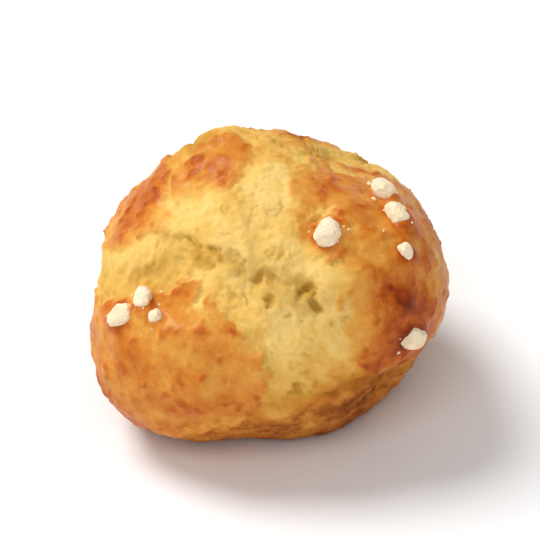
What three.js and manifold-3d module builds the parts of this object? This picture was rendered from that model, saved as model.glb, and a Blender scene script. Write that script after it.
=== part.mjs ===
// A chouquette: a small choux puff with nibs of pearl sugar baked into its crust.
// Millimetres, +Z up. The flat base lies on z = 0 with the origin under the middle, and the front faces -Y.
import * as THREE from "three";
import { mergeVertices } from "three/addons/utils/BufferGeometryUtils.js";
import Module from "manifold-3d";

// ---------------------------------------------------------------- driving dimensions
const BUN_WIDTH = 45; // along X
const BUN_DEPTH = 42; // along Y
const BUN_HEIGHT = 35; // from the flat base to the crown
const HEART_HEIGHT = 15.5; // the point inside that the dough swells from, above the base
const CREASE_SOFTNESS = 0.7; // how far two puffs melt into each other where they meet
const RIPPLE_HEIGHT = 0.3; // unevenness of the crust on top of the puffs
const CRUST_DETAIL = 15; // cuts along each edge of the icosahedron that the crust is shaped from

const NIB_SINK = 0.4; // share of a nib's thickness that lies below the crust
const NIB_GAP = 0.33; // clearance between a nib and its socket
const NIB_SQUARENESS = 3.2; // 2 makes an egg, and more makes a block with rounded edges
const NIB_ROUGHNESS = 0.13; // random share by which a nib's corners stand in or out

const CRUST_COLOUR = 0xd08a3c;
const SUGAR_COLOUR = 0xf6ecdc;

// ---------------------------------------------------------------- the dough
// Each puff is a ball that overlaps the heart: its middle is shifted from the heart towards an azimuth
// (counted from +X towards +Y) and an elevation, both in degrees. The crust is the skin round all of them.
const PUFFS = [
  { azimuth: 0, elevation: 0, shift: 0, radius: 18.0 }, // body
  { azimuth: 36, elevation: -66, shift: 4.8, radius: 17.0 }, // foot
  { azimuth: -142, elevation: -14, shift: 10.2, radius: 14.0 }, // front left
  { azimuth: -98, elevation: 8, shift: 6.6, radius: 14.0 }, // front middle
  { azimuth: -62, elevation: -6, shift: 6.4, radius: 13.6 }, // front right
  { azimuth: -118, elevation: 66, shift: 5.8, radius: 14.0 }, // front crown
  { azimuth: -24, elevation: 26, shift: 9.0, radius: 14.0 }, // right shoulder
  { azimuth: 178, elevation: 24, shift: 8.0, radius: 14.0 }, // left shoulder
  { azimuth: 132, elevation: 64, shift: 7.0, radius: 14.4 }, // crown
  { azimuth: 92, elevation: 14, shift: 7.8, radius: 13.6 }, // back
  { azimuth: 38, elevation: 14, shift: 8.4, radius: 13.6 }, // back right
  { azimuth: 144, elevation: -8, shift: 7.4, radius: 13.6 }, // back left
];

// Unit vector towards an azimuth and an elevation in degrees.
function heading(azimuth, elevation) {
  const a = THREE.MathUtils.degToRad(azimuth);
  const e = THREE.MathUtils.degToRad(elevation);
  return new THREE.Vector3(Math.cos(e) * Math.cos(a), Math.cos(e) * Math.sin(a), Math.sin(e));
}

const puffAxes = PUFFS.map((puff) => heading(puff.azimuth, puff.elevation));

// How far one puff reaches from the heart along a direction.
function puffReach(index, direction) {
  const { shift, radius } = PUFFS[index];
  const along = shift * direction.dot(puffAxes[index]);
  return along + Math.sqrt(along * along + radius * radius - shift * shift);
}

// Gentle unevenness, from crossed waves about a fifth of the bun wide.
function ripple({ x, y, z }) {
  const broad = Math.sin(5.1 * x + 2.3 * z + 0.7) * Math.sin(4.7 * y - 3.1 * x + 1.9);
  const fine = Math.sin(9.7 * y + 6.1 * z + 2.6) * Math.sin(8.9 * z - 7.3 * x + 0.4);
  return RIPPLE_HEIGHT * (broad + 0.6 * fine);
}

// The skin round all the puffs: a soft maximum of their reaches.
function crustReach(direction) {
  const total = PUFFS.reduce(
    (sum, puff, index) => sum + Math.exp(puffReach(index, direction) / CREASE_SOFTNESS),
    0,
  );
  return CREASE_SOFTNESS * Math.log(total) + ripple(direction);
}

// A point of the crust before it is brought to size, with the base plane at z = 0.
function crustPoint(direction) {
  const point = direction.clone().multiplyScalar(crustReach(direction));
  point.z += HEART_HEIGHT;
  return point;
}

// ---------------------------------------------------------------- solids
const wasm = await Module();
wasm.setup();

function solidFrom(geometry) {
  const bare = geometry.clone();
  bare.deleteAttribute("normal");
  bare.deleteAttribute("uv");
  const merged = mergeVertices(bare, 1e-4);
  return new wasm.Manifold(
    new wasm.Mesh({
      numProp: 3,
      vertProperties: merged.attributes.position.array,
      triVerts: new Uint32Array(merged.index.array),
    }),
  );
}

function geometryFrom(solid) {
  const mesh = solid.getMesh();
  const geometry = new THREE.BufferGeometry();
  geometry.setAttribute("position", new THREE.BufferAttribute(mesh.vertProperties, 3));
  geometry.setIndex(new THREE.BufferAttribute(mesh.triVerts, 1));
  geometry.computeVertexNormals();
  return geometry;
}

// Moves every vertex of a ball of radius 1 to where shape says.
function shapedBall(detail, shape) {
  const geometry = new THREE.IcosahedronGeometry(1, detail);
  const position = geometry.attributes.position;
  const vertex = new THREE.Vector3();
  for (let i = 0; i < position.count; i += 1) {
    const moved = shape(vertex.fromBufferAttribute(position, i).normalize());
    position.setXYZ(i, moved.x, moved.y, moved.z);
  }
  return geometry;
}

// The dough with everything below the base plane cut away.
function risenDough() {
  const reach = 3 * BUN_WIDTH;
  const above = new THREE.BoxGeometry(reach, reach, reach).translate(0, 0, reach / 2);
  return solidFrom(shapedBall(CRUST_DETAIL, crustPoint)).intersect(solidFrom(above));
}

// The matrix that brings the risen dough to the driving dimensions, centred over the origin.
function fitToSize(dough) {
  const { min, max } = dough.boundingBox();
  const scale = new THREE.Vector3(
    BUN_WIDTH / (max[0] - min[0]),
    BUN_DEPTH / (max[1] - min[1]),
    BUN_HEIGHT / (max[2] - min[2]),
  );
  const middle = new THREE.Vector3((min[0] + max[0]) / 2, (min[1] + max[1]) / 2, min[2]);
  return new THREE.Matrix4()
    .makeScale(scale.x, scale.y, scale.z)
    .multiply(new THREE.Matrix4().makeTranslation(-middle.x, -middle.y, -middle.z));
}

const risen = risenDough();
const toSize = fitToSize(risen);
const plainBun = solidFrom(geometryFrom(risen).applyMatrix4(toSize));

// ---------------------------------------------------------------- pearl sugar
// One row per nib: where it sits as seen from the heart, its length, width and thickness, and how it is
// turned about the crust's normal, in degrees. Sprinkled from above, they lie where they fell.
const NIBS = [
  { azimuth: -54, elevation: 56, size: [3.5, 3.2, 2.9], turn: 20 },
  { azimuth: 1, elevation: 50, size: [3.9, 2.9, 2.7], turn: 28 },
  { azimuth: -15, elevation: 45, size: [3.7, 2.6, 2.5], turn: 50 },
  { azimuth: -29, elevation: 37, size: [2.4, 1.8, 1.7], turn: 70 },
  { azimuth: -38, elevation: 9, size: [3.4, 3.1, 2.7], turn: 150 },
  { azimuth: -147, elevation: 14, size: [3.6, 2.9, 2.7], turn: 70 },
  { azimuth: -143, elevation: 23, size: [3.1, 2.1, 2.0], turn: 115 },
  { azimuth: -135, elevation: 20, size: [1.9, 1.7, 1.5], turn: 40 },
  { azimuth: 51, elevation: 6, size: [3.7, 3.0, 2.8], turn: 130 },
  { azimuth: 64, elevation: 15, size: [3.2, 2.9, 2.5], turn: 75 },
  { azimuth: 68, elevation: 2, size: [4.0, 2.7, 2.6], turn: 15 },
  { azimuth: 86, elevation: 9, size: [2.8, 2.5, 2.2], turn: 50 },
  { azimuth: 98, elevation: 20, size: [3.6, 3.1, 2.8], turn: 100 },
  { azimuth: 94, elevation: -5, size: [3.3, 2.6, 2.4], turn: 170 },
  { azimuth: 113, elevation: 23, size: [4.2, 2.9, 2.6], turn: 35 },
  { azimuth: 109, elevation: 11, size: [2.6, 2.4, 2.1], turn: 90 },
  { azimuth: 129, elevation: 18, size: [3.4, 3.0, 2.7], turn: 145 },
  { azimuth: 141, elevation: -2, size: [3.1, 2.5, 2.3], turn: 5 },
];

// A repeatable number from 0 to 1 for a nib and a direction on it.
function chance(seed, { x, y, z }) {
  const wave = Math.sin(seed * 12.9898 + x * 78.233 + y * 37.719 + z * 24.677) * 43758.5453;
  return wave - Math.floor(wave);
}

// A roughly broken block, grown by extra on every side.
function nibGeometry(nib, seed, extra = 0) {
  return shapedBall(1, (direction) => {
    const { x, y, z } = direction;
    const power = NIB_SQUARENESS;
    const block = (Math.abs(x) ** power + Math.abs(y) ** power + Math.abs(z) ** power) ** (-1 / power);
    const rough = 1 + NIB_ROUGHNESS * (2 * chance(seed, direction) - 1);
    const half = new THREE.Vector3(...nib.size).multiplyScalar((block * rough) / 2);
    return new THREE.Vector3(x, y, z).multiply(half).addScaledVector(direction, extra);
  });
}

// Where a nib lies: the crust point that it faces, with the crust's normal as its own Z axis.
function nibMatrix({ azimuth, elevation, size, turn }) {
  const step = 2;
  const at = (a, e) => crustPoint(heading(a, e)).applyMatrix4(toSize);
  const point = at(azimuth, elevation);
  const east = at(azimuth + step, elevation).sub(at(azimuth - step, elevation)).normalize();
  const north = at(azimuth, elevation + step).sub(at(azimuth, elevation - step)).normalize();
  const normal = new THREE.Vector3().crossVectors(east, north).normalize();
  const level = new THREE.Matrix4().makeBasis(east, new THREE.Vector3().crossVectors(normal, east), normal);
  const turned = new THREE.Matrix4().makeRotationZ(THREE.MathUtils.degToRad(turn));
  const middle = point.addScaledVector(normal, size[2] * (0.5 - NIB_SINK));
  return new THREE.Matrix4().makeTranslation(middle.x, middle.y, middle.z).multiply(level).multiply(turned);
}

// ---------------------------------------------------------------- assembly
const chouquette = new THREE.Group();
chouquette.name = "chouquette";

// The bun is one baked piece. Every nib has its own shallow socket in the crust.
const sockets = NIBS.map((nib, index) =>
  solidFrom(nibGeometry(nib, index + 1, NIB_GAP).applyMatrix4(nibMatrix(nib))),
);
const bun = sockets.reduce((solid, socket) => solid.subtract(socket), plainBun);
const bunMesh = new THREE.Mesh(
  geometryFrom(bun),
  new THREE.MeshStandardMaterial({ color: CRUST_COLOUR, roughness: 0.55, metalness: 0 }),
);
bunMesh.name = "choux_bun";
chouquette.add(bunMesh);

NIBS.forEach((nib, index) => {
  const mesh = new THREE.Mesh(
    nibGeometry(nib, index + 1),
    new THREE.MeshStandardMaterial({ color: SUGAR_COLOUR, roughness: 0.5, metalness: 0 }),
  );
  mesh.name = `pearl_sugar_${String(index + 1).padStart(2, "0")}`;
  mesh.applyMatrix4(nibMatrix(nib));
  chouquette.add(mesh);
});

// The origin is under the middle of the whole piece, nibs included.
const part = new THREE.Group();
const middle = new THREE.Box3().setFromObject(chouquette, true).getCenter(new THREE.Vector3());
chouquette.position.set(-middle.x, -middle.y, 0);
part.add(chouquette);

export default part;
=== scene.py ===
import math

import bmesh
import bpy
import numpy as np
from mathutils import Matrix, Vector
from mathutils.bvhtree import BVHTree


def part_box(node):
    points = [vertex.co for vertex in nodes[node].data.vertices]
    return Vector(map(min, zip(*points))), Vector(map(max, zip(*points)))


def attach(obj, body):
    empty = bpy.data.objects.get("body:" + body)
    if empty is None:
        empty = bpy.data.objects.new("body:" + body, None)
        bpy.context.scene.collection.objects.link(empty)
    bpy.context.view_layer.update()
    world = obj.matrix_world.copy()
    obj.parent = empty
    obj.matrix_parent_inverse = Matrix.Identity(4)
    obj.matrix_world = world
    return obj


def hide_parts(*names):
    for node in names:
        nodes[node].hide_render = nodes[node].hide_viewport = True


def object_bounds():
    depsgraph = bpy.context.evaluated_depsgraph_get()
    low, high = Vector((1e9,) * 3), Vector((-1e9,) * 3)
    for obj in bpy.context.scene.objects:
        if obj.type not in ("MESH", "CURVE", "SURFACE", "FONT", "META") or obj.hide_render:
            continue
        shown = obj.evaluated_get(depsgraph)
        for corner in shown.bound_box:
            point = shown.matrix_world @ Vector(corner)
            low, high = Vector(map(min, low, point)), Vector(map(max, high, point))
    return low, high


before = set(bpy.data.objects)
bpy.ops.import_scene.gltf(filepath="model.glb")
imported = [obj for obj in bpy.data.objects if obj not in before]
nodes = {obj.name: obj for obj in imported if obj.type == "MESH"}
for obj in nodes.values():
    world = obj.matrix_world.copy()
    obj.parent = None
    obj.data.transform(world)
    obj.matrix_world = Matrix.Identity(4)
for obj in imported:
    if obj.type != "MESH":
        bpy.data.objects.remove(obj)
cad_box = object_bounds()


# ---------------------------------------------------------------- the choux bun
# A spoonful of choux dough, dropped on a tray, brushed with egg and baked as one piece. Steam blows it up
# into a few round lobes that grow into each other, and its underside sets flat on the tray. The brushed
# skin bakes glossy and brown, and it tears into patches as the dough swells.
MM = 0.001
BALL_CUTS = 127  # cuts along each side of the six-sided grid that the skin is shaped from
HEART_SHARE = 0.43  # the lobes all swell from one point, at this share of the bun's height
FACET_BLUR = 1.1 * MM  # how far the frame's flat facets are smoothed into each other
RIM_BLUR = 2.3 * MM  # rounding of the rim of the flat base
RIM_HEIGHT = 3.0 * MM
SOCKET_DIVISOR = 2.6  # a sugar nib's diagonal over the radius of its socket
SOCKET_MARGIN = 1.0 * MM  # width of the skin round a socket that is smoothed with it
SOCKET_TRUST = 1e-6  # how much a socket counts in the smoothing, next to 1 for the skin


def toward(azimuth, elevation):
    """Unit vector towards an azimuth, counted from +X towards +Y, and an elevation, in degrees."""
    a, e = math.radians(azimuth), math.radians(elevation)
    return np.array((math.cos(e) * math.cos(a), math.cos(e) * math.sin(a), math.sin(e)))


def rows_of(items, field, width, kind=float):
    """One field of a mesh's vertices or edges, as a row of numbers for each."""
    flat = np.empty(len(items) * width, kind)
    items.foreach_get(field, flat)
    return flat.reshape(-1, width)


def place(mesh, points):
    """Moves the mesh's vertices to these points."""
    mesh.vertices.foreach_set("co", np.asarray(points).ravel())
    mesh.update()


def surface_of(mesh):
    """The mesh's surface, ready to be searched."""
    return BVHTree.FromPolygons([v.co for v in mesh.vertices], [p.vertices for p in mesh.polygons])


def reach_of(surface, middle, directions):
    """How far away the surface lies from a point inside it, along each direction."""
    found = np.array([surface.ray_cast(middle, Vector(way))[3] or np.nan for way in directions])
    found[np.isnan(found)] = np.nanmean(found)
    return found


def blurred(values, edges, rounds):
    """Each value averaged with its neighbours' along the edges, again and again."""
    start, end = edges.T
    count = len(values)
    near = np.bincount(start, minlength=count) + np.bincount(end, minlength=count)
    for _ in range(rounds):
        total = np.bincount(start, values[end], count) + np.bincount(end, values[start], count)
        values = (values + total / near) / 2
    return values


def eased(zero_at, one_at, values):
    """0 at zero_at and past it, 1 at one_at and past it, and a smooth change between the two."""
    share = np.clip((values - zero_at) / (one_at - zero_at), 0, 1)
    return share * share * (3 - 2 * share)


def hump(away, width):
    """1 where away is 0, and a round fall to nearly nothing at twice the width."""
    return np.exp(-((away / width) ** 2))


grid = bmesh.new()
bmesh.ops.create_cube(grid, size=2)
bmesh.ops.subdivide_edges(grid, edges=grid.edges[:], cuts=BALL_CUTS, use_grid_fill=True)
bun_mesh = bpy.data.meshes.new("choux_crust")
grid.to_mesh(bun_mesh)
grid.free()
bun_edges = rows_of(bun_mesh.edges, "vertices", 2, np.int32)

# Directions from the heart, spread evenly over the ball.
rays = np.tan(rows_of(bun_mesh.vertices, "co", 3) * math.pi / 4)
rays /= np.linalg.norm(rays, axis=1, keepdims=True)

bun_low, bun_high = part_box("choux_bun")
heart = (bun_low + bun_high) / 2
heart.z = bun_low.z + HEART_SHARE * (bun_high.z - bun_low.z)
heart_point = np.array(heart)
reach = reach_of(surface_of(nodes["choux_bun"].data), heart, rays)
spacing = np.mean(reach) * math.pi / 2 / (BALL_CUTS + 1)


def rounds_for(distance):
    """How many rounds of averaging smooth the skin over this distance."""
    return int(4 * (distance / spacing) ** 2)


# The skin goes on across the sockets of the sugar nibs, as the dough does under them.
sugar_names = sorted(name for name in nodes if name.startswith("pearl_sugar"))
trusted = np.ones(len(rays))
for name in sugar_names:
    low, high = (np.array(corner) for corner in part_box(name))
    away = np.linalg.norm(heart_point + rays * reach[:, None] - (low + high) / 2, axis=1)
    trusted[away < np.linalg.norm(high - low) / SOCKET_DIVISOR + SOCKET_MARGIN] = SOCKET_TRUST
facet_rounds = rounds_for(FACET_BLUR)
reach = blurred(reach * trusted, bun_edges, facet_rounds) / blurred(trusted, bun_edges, facet_rounds)
low_down = hump(heart_point[2] + rays[:, 2] * reach - bun_low.z, RIM_HEIGHT)
reach += (blurred(reach, bun_edges, rounds_for(RIM_BLUR)) - reach) * low_down

place(bun_mesh, heart_point + rays * reach[:, None])
skin_points = rows_of(bun_mesh.vertices, "co", 3)
skin_normals = rows_of(bun_mesh.vertices, "normal", 3)

# Outlines of the washed patches, as azimuth and elevation from the heart in degrees.
PATCHES = {
    "front left": [
        (-160, 9), (-150, 19), (-141, 27), (-131, 35), (-122, 33), (-114, 33), (-107, 27), (-99, 19),
        (-94, 12), (-90, 3), (-94, -8), (-105, -17), (-126, -26), (-148, -32), (-172, -28), (176, -14),
        (-172, 5),
    ],
    "right": [
        (-68, 72), (-40, 80), (20, 77), (36, 62), (29, 40), (24, 20), (12, 2), (-10, -14), (-33, -12),
        (-52, -1), (-60, 9), (-61, 27), (-58, 42), (-65, 51), (-71, 61),
    ],
    "crown": [(172, 55), (-172, 57), (-158, 67), (-160, 79), (120, 80), (143, 66)],
    "upper left": [(-157, 46), (-160, 35), (-168, 27), (176, 20), (160, 31), (158, 47), (176, 52)],
    "back": [
        (60, 40), (74, 55), (98, 58), (119, 50), (126, 30), (122, 8), (111, -8), (86, -17), (66, -5),
        (55, 18),
    ],
    "back left": [(137, 22), (152, 19), (168, 8), (171, -8), (160, -24), (143, -26), (130, -8), (131, 8)],
}

# Rips that run into the patches from their edges.
RIPS = [
    [(-126, 37), (-121, 36), (-121, 29), (-124, 25), (-125, 30)],
    [(-60, 66), (-58, 61), (-48, 57), (-41, 57), (-49, 61)],
    [(23, 64), (29, 58), (19, 44), (13, 29), (9, 22), (11, 33), (15, 47)],
    [(89, 60), (96, 58), (93, 44), (97, 31), (94, 25), (90, 32), (88, 44)],
    [(62, 19), (69, 23), (82, 20), (93, 23), (82, 16), (71, 16)],
    [(148, -28), (155, -26), (153, -12), (150, 3), (149, -10)],
    [(6, 6), (12, 0), (2, 5), (-8, 12), (-3, 12)],
]

# Creases: depth and width in millimetres, and the line of directions that each follows.
CREASES = [
    (0.75, 1.1, [
        (-150, 41), (-141, 46), (-128, 44), (-115, 46), (-104, 43), (-94, 44), (-84, 40), (-74, 36),
    ]),
    (0.7, 1.4, [(172, 10), (-172, 11), (-162, 14), (-152, 23), (-145, 31), (-136, 40)]),
    (0.8, 1.2, [(-84, -4), (-76, -5), (-67, -5), (-58, -3), (-48, -6), (-38, -7)]),
    (0.45, 1.0, [(-124, -19), (-112, -14), (-99, -11), (-88, -8), (-79, -5)]),
    (0.3, 1.3, [(-108, 33), (-101, 22), (-92, 11), (-86, 1), (-90, -10)]),
    (0.2, 1.3, [(-60, 62), (-59, 45), (-60, 27), (-59, 10)]),
    (1.0, 1.7, [(45, 64), (47, 42), (44, 16), (40, -8)]),
    (1.1, 1.7, [(150, 62), (131, 44), (129, 20), (127, 0), (125, -16)]),
    (0.35, 1.6, [(-104, 43), (-98, 55), (-103, 66), (-118, 72)]),
]

# Pits where a bubble broke through: azimuth, elevation, radius and depth in millimetres.
PITS = [
    (-74, 37, 1.0, 1.3), (-71, 31, 0.7, 1.0), (-89, 33, 0.7, 0.8), (-66, 23, 0.5, 0.3), (-95, 42, 0.55, 0.4),
    (-118, 47, 0.55, 0.4), (128, 33, 0.8, 0.8), (46, 30, 0.9, 0.9), (49, 4, 0.7, 0.7), (-80, -1, 0.6, 0.6),
    (-88, 36, 1.9, 0.16), (-76, 32, 1.4, 0.2),
]

# Places that rose more or less than the rest: azimuth, elevation, reach in degrees, height in millimetres.
RISES = [
    (158, 60, 15, 0.8), (118, 65, 12, 0.7), (178, 28, 15, -0.8), (-38, -22, 16, -1.5), (-18, 38, 10, 0.2),
    (-108, -38, 18, -0.9), (140, 60, 9, 1.2),
]

LINE_STEPS = 6  # short straight runs from one stop of an outline, rip or crease to the next
FAR = 1.0  # in metres, further off than anything on the bun
PAST_A_PATCH = -0.2  # cosine of the angle from a patch's middle past which a place isn't compared with it


def lumps(points, size, seed, layers=1):
    """Smooth random heights, about -1 to 1, in lumps about size across. Each layer adds lumps half as big."""
    total = np.zeros(len(points))
    for layer in range(layers):
        spots = points * (2**layer / size) + 31.7 * (seed + 1)
        cell = np.floor(spots).astype(np.int64)
        inside = spots - cell
        ease = inside**3 * (inside * (inside * 6 - 15) + 10)
        for corner in np.ndindex(2, 2, 2):
            key = (cell + corner) @ np.array((73856093, 19349663, 83492791)) + 2654435 * (seed + layer)
            key = (key ^ (key >> 13)) * 1274126177
            slope = np.stack([(key >> shift & 1023) / 511.5 - 1 for shift in (6, 17, 28)], axis=1)
            weight = np.prod(np.where(corner, ease, 1 - ease), axis=1)
            total += weight * np.sum(slope * (inside - corner), axis=1) * 1.6 / 2**layer
    return total


def uneven(size, seed, layers=1):
    """Such heights over the whole skin, with the size of the lumps in millimetres."""
    return lumps(skin_points, size * MM, seed, layers)


def line_between(stops, closed):
    """A smooth run of unit vectors through the stops, given as azimuth and elevation in degrees."""
    ends = [toward(*stop) for stop in stops]
    ends = [ends[-1], *ends, ends[0], ends[1]] if closed else [ends[0], *ends, ends[-1]]
    run = []
    for before, here, there, after in zip(ends, ends[1:], ends[2:], ends[3:]):
        for t in np.arange(LINE_STEPS) / LINE_STEPS:
            bend = 2 * here + (there - before) * t
            bend = bend + (2 * before - 5 * here + 4 * there - after) * t**2
            run.append(bend + (3 * here - before - 3 * there + after) * t**3)
    if not closed:
        run.append(ends[-1])
    run = np.array(run)
    return run / np.linalg.norm(run, axis=1, keepdims=True)


def middle_of(line):
    """The unit vector towards the middle of a run of unit vectors."""
    middle = line.mean(axis=0)
    return middle / np.linalg.norm(middle)


def flattened(directions, middle):
    """The directions laid out flat round a middle one, in radians, as a map maker would."""
    east = np.cross((0, 0, 1), middle)
    east /= np.linalg.norm(east)
    north = np.cross(middle, east)
    angle = np.arccos(np.clip(directions @ middle, -1, 1))
    flat = np.stack([directions @ east, directions @ north], axis=1)
    return flat * (angle / np.maximum(np.sin(angle), 1e-6))[:, None]


def distance_to(line, flat):
    """How far each flat point is from a line of flat points."""
    nearest = np.full(len(flat), np.inf)
    for start, end in zip(line, line[1:]):
        along = end - start
        share = np.clip((flat - start) @ along / (along @ along), 0, 1)
        nearest = np.minimum(nearest, np.linalg.norm(flat - start - share[:, None] * along, axis=1))
    return nearest


def inside_of(line, flat):
    """Whether each flat point is inside a closed line."""
    crossed = np.zeros(len(flat), bool)
    for (x0, y0), (x1, y1) in zip(line, line[1:]):
        level = (flat[:, 1] < y0) != (flat[:, 1] < y1)
        crossed ^= level & (flat[:, 0] < x0 + (flat[:, 1] - y0) * (x1 - x0) / (y1 - y0 + 1e-12))
    return crossed


def degrees_from(azimuth, elevation, directions):
    """The angle of each direction from an azimuth and elevation, all in degrees."""
    return np.degrees(np.arccos(np.clip(directions @ toward(azimuth, elevation), -1, 1)))


# What is torn or creased strays from its outline, with small teeth along it.
WANDER = 1.5 * MM
TEETH = 0.5 * MM
stray = np.stack([uneven(4.0, seed, layers=2) for seed in (1, 2, 3)], axis=1) * WANDER
stray += np.stack([uneven(0.9, seed, layers=2) for seed in (4, 5, 6)], axis=1) * TEETH
strayed = skin_points + stray - heart_point
strayed /= np.linalg.norm(strayed, axis=1, keepdims=True)


def depth_inside(outline):
    """Distance in from a closed outline, in metres: below 0 outside it."""
    line = line_between(outline, closed=True)
    middle = middle_of(line)
    flat_line = flattened(np.vstack([line, line[:1]]), middle)
    flat = flattened(strayed, middle)
    depth = distance_to(flat_line, flat) * np.where(inside_of(flat_line, flat), 1, -1) * reach
    return np.where(strayed @ middle > PAST_A_PATCH, depth, -FAR)


# Distance in from the nearest torn edge, in metres: above 0 on the patches, below 0 on the torn dough.
FLAKE = 0.9 * MM  # how far from the edge loose flakes and holes lie
edge_depth = np.max([depth_inside(outline) for outline in PATCHES.values()], axis=0)
edge_depth = np.minimum(edge_depth, -np.max([depth_inside(outline) for outline in RIPS], axis=0))
edge_depth += FLAKE * uneven(1.9, seed=7, layers=3)

CREASE_USUAL = 0.75  # how deep a crease usually is, as a share of the depth given
CREASE_WAVER = 0.5  # and how much that wavers along it
crease_depth = np.zeros(len(rays))
for depth, width, stops in CREASES:
    line = line_between(stops, closed=False)
    middle = middle_of(line)
    away = distance_to(flattened(line, middle), flattened(strayed, middle)) * reach
    away = np.where(rays @ middle > 0, away, FAR)
    cut = depth * MM * hump(away, width * MM)
    crease_depth = np.maximum(crease_depth, cut * (CREASE_USUAL + CREASE_WAVER * uneven(2.5, seed=8)))

# Pores all over, but the egg wash has sealed most of those on the patches.
PORE_COUNT = 520
PORE_HEIGHTS = (-0.5, 0.98)  # sine of the lowest and the highest elevation
PORE_RADII = (0.16, 0.38)  # in millimetres
PORE_DEPTH = 0.75  # as a share of its radius
SEALED_SHARE = 0.93
PIT_STEEPNESS = 2.6
pit_depth = np.zeros(len(rays))
pit_points = heart_point + strayed * reach[:, None]
chance = np.random.default_rng(20)
pores = []
for _ in range(PORE_COUNT):
    azimuth = chance.uniform(-180, 180)
    elevation = math.degrees(math.asin(chance.uniform(*PORE_HEIGHTS)))
    radius = chance.uniform(*PORE_RADII)
    pores.append((azimuth, elevation, radius, PORE_DEPTH * radius))
for azimuth, elevation, radius, depth in PITS + pores:
    spot = int(np.argmax(rays @ toward(azimuth, elevation)))
    if radius < PORE_RADII[1] and edge_depth[spot] > 0 and chance.random() < SEALED_SHARE:
        continue
    away = np.linalg.norm(pit_points - pit_points[spot], axis=1) / (radius * MM)
    pit_depth = np.maximum(pit_depth, depth * MM * np.exp(-(away**PIT_STEEPNESS)))

# The foot is the lowest part of the bun, next to the tray. A patch ends in a step that is crisp in some
# places and fades out in others, and here and there its edge has curled up into a lip.
FOOT_TOP = (3.0 * MM, 0.8 * MM)  # where the foot ends, and below which it is whole
EDGE_SOFTNESS = 0.30 * MM  # half the width of the step
LIP_INSET = 0.4 * MM
LIP_WIDTH = 0.5 * MM
height_up = skin_points[:, 2] - bun_low.z
foot = eased(*FOOT_TOP, height_up)
patch = eased(-EDGE_SOFTNESS, EDGE_SOFTNESS, edge_depth)
torn = (1 - patch) * (1 - foot)
crisp = eased(-0.5, 0.5, uneven(7, seed=284, layers=2))
curl = eased(-0.25, 0.5, uneven(4, seed=10))
lip = curl * hump(edge_depth - LIP_INSET, LIP_WIDTH)

# The torn dough is drawn out in threads, down and to the right across the front, with small curds between.
THREAD_HEIGHT = 0.22 * MM
THREAD_PULL = 0.82  # how much of their length is drawn out
CURD_HEIGHT = 0.24 * MM
along_tear = np.array((0.78, -0.1, -0.62))
stretched = skin_points - THREAD_PULL * np.outer(skin_points @ along_tear, along_tear)
threads = THREAD_HEIGHT * lumps(stretched + 0.3 * stray, 1.4 * MM, seed=11, layers=3)
curds = CURD_HEIGHT * np.abs(uneven(1.3, seed=17, layers=2))

# The patches are blistered and dimpled, and finely wrinkled where they shrank.
BLISTER_HEIGHT = 0.24 * MM
DIMPLE_HEIGHT = 0.24 * MM
WRINKLE_DEPTH = 0.14 * MM
WRINKLE_WIDTH = 0.10  # as a share of the height of the lumps that they run between
blisters = BLISTER_HEIGHT * eased(0.15, 0.75, uneven(2.2, seed=14, layers=2))
dimples = DIMPLE_HEIGHT * uneven(3.6, seed=18, layers=2)
folds = lumps(skin_points + 0.5 * stray, 1.7 * MM, seed=15, layers=2)
wrinkles = -WRINKLE_DEPTH * hump(folds, WRINKLE_WIDTH) * eased(-0.1, 0.35, uneven(5, seed=16))

# Low down, the bare dough baked hard in the heat of the tray, and it is pebbled and finely cracked.
HARD_TOP = (13 * MM, 8 * MM)  # where the hard dough ends, and below which all of it is hard
HARD_TOP_WAVES = 3 * MM
CRACK_DEPTH = 0.16 * MM
CRACK_WIDTH = 0.07  # like that of the wrinkles
CRACK_DRAW = (1, 1, 0.35)  # the cracks run more up and down than across
PEBBLE_HEIGHT = 0.34 * MM
hardened = eased(*HARD_TOP, height_up + HARD_TOP_WAVES * uneven(7, seed=26)) * (1 - patch)
upright = skin_points * CRACK_DRAW
cracks = -CRACK_DEPTH * hump(lumps(upright + 0.4 * stray, 2.4 * MM, seed=27, layers=2), CRACK_WIDTH)
pebbles = PEBBLE_HEIGHT * np.abs(uneven(1.5, seed=28, layers=3))

# The crust creeps up round each sugar nib and is darker there: partly browned, partly painted shade where nib
# # and crust meet.
COLLAR_REACH = 4.5 * MM  # how far from the middle of a nib the skin can be part of its collar
COLLAR_WIDTH = 0.55 * MM
COLLAR_HEIGHT = 0.22 * MM
nib_gap = np.full(len(rays), FAR)
for name in sugar_names:
    nib_surface = surface_of(nodes[name].data)
    low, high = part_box(name)
    close = np.flatnonzero(np.linalg.norm(skin_points - np.array((low + high) / 2), axis=1) < COLLAR_REACH)
    for index in close:
        nib_gap[index] = min(nib_gap[index], nib_surface.find_nearest(Vector(skin_points[index]))[3])
collar = hump(nib_gap, COLLAR_WIDTH)

# The tray pressed most of all this flat at the foot.
SKIN_THICKNESS = 0.40 * MM  # how far a patch stands above the torn dough where it is crisp
FADED_SHARE = 0.5  # share of the skin's thickness that is left where a patch fades out
PRESSED_RELIEF = 0.7
PRESSED_SWELL = 0.3
LIP_HEIGHT = 0.16 * MM
ROUGHNESS_HEIGHT = 0.06 * MM
SWELL_HEIGHT = 0.36 * MM
PROUD_ROUNDS = 60  # rounds of averaging that leave the level that the texture stands above
texture = patch * (blisters + wrinkles + dimples) + torn * (1 - hardened) * (threads + curds)
texture += hardened * (cracks + pebbles + dimples)
texture += ROUGHNESS_HEIGHT * uneven(0.8, seed=9, layers=2)
raised = texture - blurred(texture, bun_edges, PROUD_ROUNDS)

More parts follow.
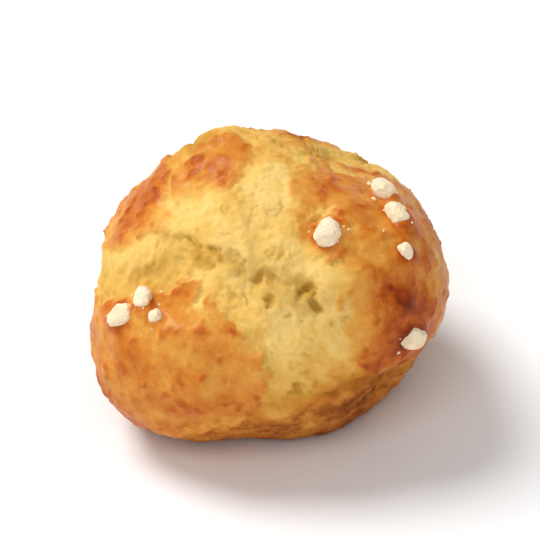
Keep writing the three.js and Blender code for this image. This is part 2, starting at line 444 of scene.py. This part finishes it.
swell = SWELL_HEIGHT * uneven(5.5, seed=12, layers=2)
for azimuth, elevation, spread, height in RISES:
    swell += height * MM * hump(degrees_from(azimuth, elevation, rays), spread)
skin_height = SKIN_THICKNESS * (FADED_SHARE + (1 - FADED_SHARE) * crisp) * patch
relief = texture + skin_height + LIP_HEIGHT * lip + COLLAR_HEIGHT * collar
relief -= crease_depth + pit_depth + SKIN_THICKNESS / 2
relief = relief * (1 - PRESSED_RELIEF * foot) + swell * (1 - PRESSED_SWELL * foot)

crust_points = skin_points + skin_normals * relief[:, None]
crust_points[:, 2] = np.maximum(crust_points[:, 2], bun_low.z)
place(bun_mesh, crust_points)

# How brown each place has baked, with painted shade added further down: 0 is pale dough, 1 is nearly burnt.
# # What stands proud bakes browner.
PALE = 0.10
CLOUDY = 0.10
EDGE_STEP = (0.06, 0.24)  # added close to the edge of a patch, where it fades out and where it is crisp
EDGE_STEP_CLOUDY = 0.06
EDGE_STEP_SPAN = (-0.4 * MM, 0.6 * MM)
EDGE_SLOPE = (0.38, 0.22)  # added slowly across that edge, in the same two kinds of place
EDGE_SLOPE_SPAN = (-2.4 * MM, 2.8 * MM)
PROUD_HEIGHT = 0.2 * MM
PROUD_BROWN = 0.05
PROUD_BROWN_ON_PATCH = 0.09
PROUD_BROWN_WHERE_HARD = 0.07
HARD_MOTTLE = 0.16
LIP_BROWN = 0.10
COLLAR_BROWN_AND_SHADE = 0.16
cloud = uneven(6, seed=21, layers=3)
edge_step = EDGE_STEP[0] + (EDGE_STEP[1] - EDGE_STEP[0]) * crisp + EDGE_STEP_CLOUDY * cloud
edge_slope = EDGE_SLOPE[0] + (EDGE_SLOPE[1] - EDGE_SLOPE[0]) * crisp
proud_brown = PROUD_BROWN + PROUD_BROWN_ON_PATCH * patch + PROUD_BROWN_WHERE_HARD * hardened
browning = PALE + CLOUDY * cloud
browning += edge_step * eased(*EDGE_STEP_SPAN, edge_depth)
browning += edge_slope * eased(*EDGE_SLOPE_SPAN, edge_depth)
browning += proud_brown * np.clip(raised / PROUD_HEIGHT, -1, 1.5)
browning += HARD_MOTTLE * hardened * uneven(3.4, seed=29, layers=3)
# Lips brown more; collars darken partly from browning and partly as painted shade round the nibs.
browning += LIP_BROWN * lip + COLLAR_BROWN_AND_SHADE * collar

# Places browned more or less than the rest, partly by the heat, partly as painted shade low on the front
# # and painted light on the shaded right side: azimuth, elevation, reach in degrees, browning.
BROWNING_AND_SHADE_SPOTS = [
    (-38, 18, 12, 0.21), (-40, 6, 11, 0.12), (-48, 14, 6, 0.12), (-55, -12, 13, 0.24), (-42, -20, 14, 0.26),
    (-124, -2, 14, 0.05), (-109, 4, 11, -0.09), (-124, 24, 11, -0.10), (-121, -16, 9, -0.14),
    (-140, 8, 8, -0.03), (-170, 40, 9, 0.03), (176, 62, 9, 0.12), (-152, 76, 7, -0.10), (-42, 43, 15, -0.09),
    (-14, 29, 10, -0.12), (0, 72, 8, -0.10), (-164, 20, 6, 0.08), (-92, -21, 12, 0.14), (-72, -5, 10, 0.17),
    (-74, 6, 10, 0.09), (-117, 6, 6, 0.05), (120, 84, 8, 0.08), (108, 58, 4, 0.40), (70, 57, 4, 0.36),
    (64, 83, 5, 0.25), (100, 0, 20, 0.12), (30, 5, 18, 0.12), (160, -6, 15, 0.08), (92, 66, 14, 0.21),
    (142, 58, 8, 0.24), (62, 62, 8, 0.18), (30, 48, 9, 0.32), (-44, 72, 8, -0.13), (-62, 29, 9, -0.11),
    (-48, 48, 6, -0.12), (-108, 47, 6, -0.08), (-62, -10, 7, 0.14), (-115, -11, 9, -0.12),
    (-138, -15, 9, -0.10), (-158, 10, 10, 0.08), (-171, 29, 8, 0.07), (-35, 27, 6, 0.10), (152, 51, 8, 0.12),
    (-66, 3, 8, 0.20), (-50, 60, 6, 0.08), (158, 54, 7, 0.14), (-116, 33, 6, 0.10), (-112, 21, 5, 0.10),
    (-110, 9, 6, -0.06), (-80, -14, 8, 0.20), (-49, -17, 8, 0.06), (-69, 52, 5, 0.10), (-149, 66, 8, 0.10),
    (-131, 71, 6, 0.08), (-176, 34, 8, 0.08), (-160, 25, 7, 0.05), (171, 44, 8, 0.06), (170, 78, 7, -0.08),
    (-169, 12, 7, 0.08), (-26, 35, 5, 0.06), (-106, -26, 8, 0.10), (-60, 19, 6, -0.08),
]
BLOTCHY = 0.5
blotches = 1 + BLOTCHY * uneven(2.4, seed=30, layers=3)
for azimuth, elevation, spread, amount in BROWNING_AND_SHADE_SPOTS:
    browning += amount * blotches * hump(degrees_from(azimuth, elevation, strayed), spread)

# The bare dough is darker towards the tray, in two bands with wavy tops: partly baked brown, partly painted
# # shade of the underside. The foot browns all over.
BAND_WAVES = 2.0 * MM
UPPER_BAND = (17 * MM, 11.5 * MM)  # where it begins, and below which it is at its full strength
UPPER_BAND_DARKENING = 0.26
LOWER_BAND = (12 * MM, 6 * MM)
LOWER_BAND_DARKENING = 0.24
BAND_SHIELD = 0.75  # how much less of this the egg-washed patches take
FOOT_BAND = (4 * MM, 1 * MM)
FOOT_BROWN = 0.14
band_height = height_up + BAND_WAVES * uneven(6, seed=24, layers=2)
baked_and_shaded_under = UPPER_BAND_DARKENING * eased(*UPPER_BAND, band_height)
baked_and_shaded_under += LOWER_BAND_DARKENING * eased(*LOWER_BAND, band_height)
browning += baked_and_shaded_under * (1 - BAND_SHIELD * patch) + FOOT_BROWN * eased(*FOOT_BAND, band_height)
browning = np.clip(browning, 0.02, 0.98)

# The creases and pits are darker and greener: partly the greenish yellow of dough that steam keeps moist,
# # partly painted shade in the hollows. Both fade where the dough bakes through.
FULL_CREASE = 1.5 * MM
FULL_PIT = 0.5 * MM
FULL_SPREAD = 1.4 * MM
SPREAD_ROUNDS = 140  # rounds of averaging that spread the tint and painted shade out beside the creases and pits
MOST_SPREAD = 0.32
BROWNED_FADE = (0.35, 0.75)  # the browning at which the hollow tint and painted shade start to fade, and at which they are faintest
BROWNED_FADE_SHARE = 0.6  # how much of the tint and painted shade is gone by then
spread_tint_and_shade = blurred(crease_depth + 2 * pit_depth, bun_edges, SPREAD_ROUNDS) * (1 - patch)
cavity = crease_depth / FULL_CREASE + pit_depth / FULL_PIT + np.minimum(spread_tint_and_shade / FULL_SPREAD, MOST_SPREAD)
cavity = np.clip(cavity, 0, 1) * (1 - BROWNED_FADE_SHARE * eased(*BROWNED_FADE, browning))

# The egg wash fades out past the torn edge where the skin has stretched instead of tearing.
FADING = (-1.5 * MM, 1.1 * MM)
egg_wash = (patch * crisp + eased(*FADING, edge_depth) * (1 - crisp)) * (1 - foot)

for name, values in {"browning": browning, "washed": egg_wash, "cavity": cavity}.items():
    layer = bun_mesh.attributes.new(name, "FLOAT", "POINT")
    layer.data.foreach_set("value", values.astype(np.float32))


class Wire:
    """One output of a material's nodes. Sums of wires and numbers add Math nodes to the material."""

    def __init__(self, tree, socket=None):
        self.tree = tree
        self.socket = socket

    def node(self, kind, settings=None, sockets=None, out=0):
        """Adds a node of any kind: its settings first, then the values or wires of its sockets."""
        made = self.tree.nodes.new(kind)
        for name, setting in (settings or {}).items():
            if name == "stops":
                ramp = made.color_ramp.elements
                while len(ramp) < len(setting):
                    ramp.new(1.0)
                for element, (position, colour) in zip(ramp, setting):
                    element.position = position
                    element.color = (*colour, 1.0)
            else:
                setattr(made, name, setting)
        for name, value in (sockets or {}).items():
            if isinstance(value, Wire):
                self.tree.links.new(value.socket, made.inputs[name])
            else:
                made.inputs[name].default_value = value
        return Wire(self.tree, made.outputs[out] if made.outputs else None)

    def maths(self, operation, *values):
        """A Math node on wires and numbers."""
        return self.node("ShaderNodeMath", {"operation": operation}, dict(enumerate(values)))

    def __add__(self, other):
        return self.maths("ADD", self, other)

    def __sub__(self, other):
        return self.maths("SUBTRACT", self, other)

    def __rsub__(self, other):
        return self.maths("SUBTRACT", other, self)

    def __mul__(self, other):
        return self.maths("MULTIPLY", self, other)

    __radd__ = __add__
    __rmul__ = __mul__

    def between(self, low, high):
        """0 where this wire is at low, 1 at high, and a smooth rise between them."""
        settings = {"interpolation_type": "SMOOTHSTEP"}
        return self.node("ShaderNodeMapRange", settings, {"Value": self, "From Min": low, "From Max": high})

    def blend(self, first, second):
        """first where this wire is 0 and second where it is 1, both colours."""
        return self.node("ShaderNodeMix", {"data_type": "RGBA"}, {0: self, 6: first, 7: second}, out=2)


def new_finish(name):
    """An empty material and the wire that its nodes are added to."""
    material = bpy.data.materials.new(name)
    material.use_nodes = True
    material.node_tree.nodes.clear()
    return material, Wire(material.node_tree)


def places_in_mm(start):
    """Where each point of the surface lies on its own object, in millimetres."""
    here = start.node("ShaderNodeTexCoord", out="Object")
    return start.node("ShaderNodeVectorMath", {"operation": "SCALE"}, {0: here, "Scale": 1 / MM})


def grain(start, places, size, detail, roughness):
    """Cloudy variation from 0 to 1, in clouds of about size millimetres."""
    sockets = {"Vector": places, "Scale": 1 / size, "Detail": detail, "Roughness": roughness}
    return start.node("ShaderNodeTexNoise", sockets=sockets)


def add_object(name, data):
    """A new object in the scene, made of a mesh, a lamp or a camera."""
    added = bpy.data.objects.new(name, data)
    bpy.context.scene.collection.objects.link(added)
    return added


# Colours of the crust under egg wash and of the bare dough, from pale to nearly burnt.
WASHED_TONES = [
    (0.00, (0.87, 0.60, 0.220)),
    (0.16, (0.83, 0.51, 0.134)),
    (0.34, (0.76, 0.37, 0.066)),
    (0.52, (0.66, 0.240, 0.031)),
    (0.68, (0.53, 0.125, 0.010)),
    (0.84, (0.35, 0.052, 0.003)),
    (1.00, (0.17, 0.022, 0.002)),
]
BARE_TONES = [
    (0.00, (0.89, 0.62, 0.210)),
    (0.16, (0.84, 0.53, 0.134)),
    (0.34, (0.76, 0.40, 0.078)),
    (0.52, (0.64, 0.258, 0.038)),
    (0.68, (0.49, 0.152, 0.020)),
    (0.84, (0.31, 0.079, 0.010)),
    (1.00, (0.16, 0.037, 0.005)),
]
MOTTLE_BROWN = 0.30
FINE_BROWN = 0.14
STRAND_BROWN = 0.16
FRECKLE_COLOUR = (0.25, 0.07, 0.015, 1.0)
FRECKLE_SHARE = 0.3
# The colour of the creases and pits: partly moist dough, partly painted shade.
HOLLOW_TINT_AND_SHADE_COLOUR = (0.45, 0.235, 0.020, 1.0)
HOLLOW_TINT_AND_SHADE_SHARE = 0.72
BARE_ROUGHNESS = 0.66
WASHED_ROUGHNESS = 0.40
MOTTLE_ROUGHNESS = 0.18
HOLLOW_ROUGHNESS = 0.15
BARE_RIPPLES = 0.55
WASHED_RIPPLES = 0.30
STRAND_BUMPS = 0.7
FINE_BUMPS = 0.35
WASH_GLOSS = 0.10

crust_finish, start = new_finish("baked choux crust")
here_mm = places_in_mm(start)
# How brown the crust is, with painted shade low down and painted light on the shaded right side in it.
brown_and_shade = start.node("ShaderNodeAttribute", {"attribute_name": "browning"}, out="Fac")
washed = start.node("ShaderNodeAttribute", {"attribute_name": "washed"}, out="Fac")
tint_and_shade_in_hollows = start.node("ShaderNodeAttribute", {"attribute_name": "cavity"}, out="Fac")

mottle = grain(start, here_mm, size=2.6, detail=4.0, roughness=0.62)
fine = grain(start, here_mm, size=0.55, detail=3.0, roughness=0.6)
ripples = grain(start, here_mm, size=0.34, detail=3.0, roughness=0.6)
freckles = grain(start, here_mm, size=0.42, detail=2.0, roughness=0.5).between(0.64, 0.78)

# The bare dough is streaked with fine strands, drawn out to the left and right.
drawn_out = {"Vector": here_mm, "Rotation": (0.0, 0.67, -0.13), "Scale": (0.28, 1.0, 1.0)}
along_strands = start.node("ShaderNodeMapping", {"vector_type": "POINT"}, drawn_out)
strands = grain(start, along_strands, size=0.8, detail=4.0, roughness=0.6)

tone = brown_and_shade + (mottle - 0.5) * MOTTLE_BROWN + (fine - 0.5) * FINE_BROWN
tone = tone + (strands - 0.5) * STRAND_BROWN * (1 - washed)
glazed = start.node("ShaderNodeValToRGB", {"stops": WASHED_TONES}, {"Fac": tone})
bare = start.node("ShaderNodeValToRGB", {"stops": BARE_TONES}, {"Fac": tone})
freckled = (freckles * washed * FRECKLE_SHARE).blend(washed.blend(bare, glazed), FRECKLE_COLOUR)
# Creases and pits go darker and greener: partly moist dough, partly painted shade.
crust_colour = (tint_and_shade_in_hollows * HOLLOW_TINT_AND_SHADE_SHARE).blend(freckled, HOLLOW_TINT_AND_SHADE_COLOUR)

roughness = BARE_ROUGHNESS - washed * (BARE_ROUGHNESS - WASHED_ROUGHNESS)
roughness = roughness + (mottle - 0.5) * MOTTLE_ROUGHNESS + tint_and_shade_in_hollows * HOLLOW_ROUGHNESS
bumps = ripples * (BARE_RIPPLES - washed * (BARE_RIPPLES - WASHED_RIPPLES))
bumps = bumps + strands * (1 - washed) * STRAND_BUMPS + fine * FINE_BUMPS
bumpy = start.node("ShaderNodeBump", sockets={"Strength": 0.55, "Distance": 0.16 * MM, "Height": bumps})
crust = start.node(
    "ShaderNodeBsdfPrincipled",
    {"subsurface_method": "RANDOM_WALK"},
    {
        "Base Color": crust_colour,
        "Roughness": roughness,
        "Normal": bumpy,
        "Coat Weight": washed * WASH_GLOSS,
        "Coat Roughness": 0.22,
        "Specular IOR Level": 0.09,
        "Subsurface Weight": 0.14,
        "Subsurface Radius": (1.0, 0.42, 0.15),
        "Subsurface Scale": 1.1 * MM,
    },
)
start.node("ShaderNodeOutputMaterial", sockets={"Surface": crust})

bun_mesh.shade_smooth()
bun_mesh.materials.append(crust_finish)
bun = add_object("choux_crust", bun_mesh)
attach(bun, "root")
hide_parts("choux_bun")


# ---------------------------------------------------------------- pearl sugar nibs
# Pressed beet sugar broken into hard white nibs, made to keep its shape in the oven. They are sprinkled on
# before baking and sit where they fell, half sunk in the crust, which has crept up round them.
BALL_SPLITS = 5  # how many times the ball that a nib is cut from has its faces split
NIB_CUTS = 14  # flat faces that each nib is broken along
CUT_SHARES = (0.74, 0.97)  # how far out the faces lie, as a share of the nib's own reach
CUT_LIMIT = 0.05  # cosine of the angle from the middle of a face past which it cuts nothing away
WEAR_ROUNDS = 3  # rounds of averaging that wear the corners down
NIB_OUTSET = 0.06 * MM  # makes up for what the wear took off
KNOB_HEIGHT = 0.09 * MM
CRYSTAL_HEIGHT = 0.07 * MM

SUGAR_WHITE = (0.94, 0.77, 0.53, 1.0)
SUGAR_TOASTED = (0.89, 0.62, 0.34, 1.0)
TOASTED_SHARE = 0.6
SUGAR_ROUGHNESS = 0.38
DUST_ROUGHNESS = 0.3
CRYSTAL_BUMPS = 0.8
DUST_BUMPS = 0.6
sugar_finish, start = new_finish("pearl sugar")
here_mm = places_in_mm(start)
crystals = start.node("ShaderNodeTexVoronoi", {"feature": "F1"}, {"Vector": here_mm, "Scale": 2.6})
dust = grain(start, here_mm, size=0.3, detail=3.0, roughness=0.6)
toasted = grain(start, here_mm, size=1.6, detail=2.0, roughness=0.5).between(0.45, 0.75)
bumps = crystals * CRYSTAL_BUMPS + dust * DUST_BUMPS
bumpy = start.node("ShaderNodeBump", sockets={"Strength": 0.8, "Distance": 0.14 * MM, "Height": bumps})
sugar = start.node(
    "ShaderNodeBsdfPrincipled",
    {"subsurface_method": "RANDOM_WALK"},
    {
        "Base Color": (toasted * TOASTED_SHARE).blend(SUGAR_WHITE, SUGAR_TOASTED),
        "Roughness": SUGAR_ROUGHNESS + dust * DUST_ROUGHNESS,
        "Normal": bumpy,
        "Specular IOR Level": 0.5,
        "Subsurface Weight": 0.35,
        "Subsurface Radius": (1.0, 0.85, 0.65),
        "Subsurface Scale": 0.7 * MM,
    },
)
start.node("ShaderNodeOutputMaterial", sockets={"Surface": sugar})

nib_middles = []
for number, name in enumerate(sugar_names):
    chance = np.random.default_rng(100 + number)
    ball = bmesh.new()
    bmesh.ops.create_icosphere(ball, subdivisions=BALL_SPLITS, radius=1.0)
    nib_mesh = bpy.data.meshes.new(name + "_nib")
    ball.to_mesh(nib_mesh)
    ball.free()

    cad_nib = nodes[name].data
    low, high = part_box(name)
    nib_middle = (low + high) / 2
    corners = rows_of(cad_nib.vertices, "co", 3) - np.array(nib_middle)
    aims = rows_of(nib_mesh.vertices, "co", 3)
    out = reach_of(surface_of(cad_nib), nib_middle, aims)
    for cut in chance.normal(0, 1, (NIB_CUTS, 3)):
        cut /= np.linalg.norm(cut)
        face = chance.uniform(*CUT_SHARES) * np.max(corners @ cut)
        facing = aims @ cut
        out = np.where(facing > CUT_LIMIT, np.minimum(out, face / np.maximum(facing, CUT_LIMIT)), out)
    out = blurred(out, rows_of(nib_mesh.edges, "vertices", 2, np.int32), WEAR_ROUNDS)

    points = np.array(nib_middle) + aims * out[:, None]
    knobs = KNOB_HEIGHT * lumps(points, 0.8 * MM, seed=40 + number, layers=2)
    knobs += CRYSTAL_HEIGHT * np.abs(lumps(points, 0.34 * MM, seed=60 + number, layers=2))
    place(nib_mesh, points + aims * (NIB_OUTSET + knobs)[:, None])
    nib_mesh.materials.append(sugar_finish)
    nib_mesh.shade_smooth()
    nib = add_object(name + "_nib", nib_mesh)
    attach(nib, "root")
    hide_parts(name)
    nib_middles.append(points.mean(axis=0))


# ---------------------------------------------------------------- sugar crumbs
# Splinters and dust of the same pressed sugar, which broke off the nibs as they were sprinkled. They fell
# beside the nibs and baked on to the crust.
CRUMBS_PER_NIB = 5
CRUMB_SPREAD = 1.6 * MM
CRUMB_RADIUS = 0.34 * MM  # of the largest
CRUMB_SIZES = (0.3, 1.0)  # least and greatest, before small ones are made commoner
CRUMB_STRETCH = (0.6, 1.3)
CRUMB_ROUGHNESS = 0.3
crust_surface = surface_of(bun_mesh)
crumbs = bmesh.new()
chance = np.random.default_rng(7)
for nib_middle in nib_middles:
    for _ in range(CRUMBS_PER_NIB):
        aim = nib_middle + chance.normal(0, CRUMB_SPREAD, 3) - heart_point
        landed = crust_surface.ray_cast(heart, Vector(aim / np.linalg.norm(aim)))[0]
        radius = CRUMB_RADIUS * chance.uniform(*CRUMB_SIZES) ** 1.5
        crumb = bmesh.ops.create_icosphere(crumbs, subdivisions=1, radius=1.0)["verts"]
        stretch = chance.uniform(*CRUMB_STRETCH, 3)
        turn = Vector(chance.normal(0, 1, 3)).to_track_quat("Z", "Y")
        for vertex in crumb:
            rough = 1 + CRUMB_ROUGHNESS * chance.uniform(-1, 1)
            vertex.co = turn @ Vector(np.array(vertex.co) * stretch * rough * radius) + landed
crumb_mesh = bpy.data.meshes.new("sugar_crumbs")
crumbs.to_mesh(crumb_mesh)
crumbs.free()
crumb_mesh.materials.append(sugar_finish)
crumb_piece = add_object("sugar_crumbs", crumb_mesh)
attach(crumb_piece, "root")


# ---------------------------------------------------------------- the white table and the light
# A plain white table top under a large soft lamp, up and to the left, and a weaker one in front. The room
# round it is bright and white.
TABLE_SIDE = 8.0
TABLE_GAP = 0.02 * MM  # keeps the table clear of the foot
table_low = cad_box[0].z - TABLE_GAP
half_side = TABLE_SIDE / 2
table_corners = [(x * half_side, y * half_side, table_low) for x, y in ((-1, -1), (1, -1), (1, 1), (-1, 1))]
table_mesh = bpy.data.meshes.new("table")
table_mesh.from_pydata(table_corners, [], [(0, 1, 2, 3)])
table_finish, start = new_finish("white table")
matt = start.node(
    "ShaderNodeBsdfPrincipled",
    sockets={"Base Color": (0.92, 0.92, 0.92, 1.0), "Roughness": 0.7, "Specular IOR Level": 0.2},
)
start.node("ShaderNodeOutputMaterial", sockets={"Surface": matt})
table_mesh.materials.append(table_finish)
table = add_object("table", table_mesh)

bun_middle = (cad_box[0] + cad_box[1]) / 2


def soft_lamp(name, azimuth, elevation, spread, strength):
    """A broad lamp far off, which lights the whole table alike. Its spread is its width in degrees."""
    lamp = bpy.data.lights.new(name, "SUN")
    lamp.angle = math.radians(spread)
    lamp.energy = strength
    holder = add_object(name, lamp)
    away = Vector(toward(azimuth, elevation))
    holder.location = bun_middle + away
    holder.rotation_euler = away.to_track_quat("Z", "Y").to_euler()


soft_lamp("key lamp", azimuth=150, elevation=56, spread=28, strength=2.35)
soft_lamp("front lamp", azimuth=-105, elevation=50, spread=36, strength=0.84)

# White walls that give way to a dimmer ceiling, as the upward part of the direction grows.
WALL_BRIGHTNESS = 1.05
WALL_TOP = 0.05
CEILING_BRIGHTNESS = 0.34
CEILING_EDGE = 0.30
room = bpy.data.worlds.new("white room")
room.use_nodes = True
room.node_tree.nodes.clear()
start = Wire(room.node_tree)
there = start.node("ShaderNodeTexCoord", out="Generated")
upward = start.node("ShaderNodeSeparateXYZ", sockets={0: there}, out="Z")
dimming = upward.between(WALL_TOP, CEILING_EDGE)
strength = WALL_BRIGHTNESS - dimming * (WALL_BRIGHTNESS - CEILING_BRIGHTNESS)
sky = start.node("ShaderNodeBackground", sockets={"Color": (1.0, 1.0, 1.0, 1.0), "Strength": strength})
start.node("ShaderNodeOutputWorld", sockets={"Surface": sky})
bpy.context.scene.world = room
bpy.context.scene.view_settings.view_transform = "Standard"


# ---------------------------------------------------------------- the camera
# A long lens that looks down on the front of the bun from a little over a metre away. Its view is half as
# wide again as the bun.
LOOK_DOWN = 38  # degrees below the horizon
CAMERA_DISTANCE = 1.3
VIEW_SHARE = 0.66  # how much of the view's width the bun takes up
lens = bpy.data.cameras.new("camera")
camera = add_object("camera", lens)
away = Vector(toward(-90, LOOK_DOWN))
camera.location = bun_middle + away * CAMERA_DISTANCE
camera.rotation_euler = away.to_track_quat("Z", "Y").to_euler()
seen_width = (cad_box[1].x - cad_box[0].x) / VIEW_SHARE
lens.sensor_width = 36.0
lens.lens = lens.sensor_width * CAMERA_DISTANCE / seen_width
lens.clip_start = 0.01
lens.clip_end = 20.0
bpy.context.scene.camera = camera
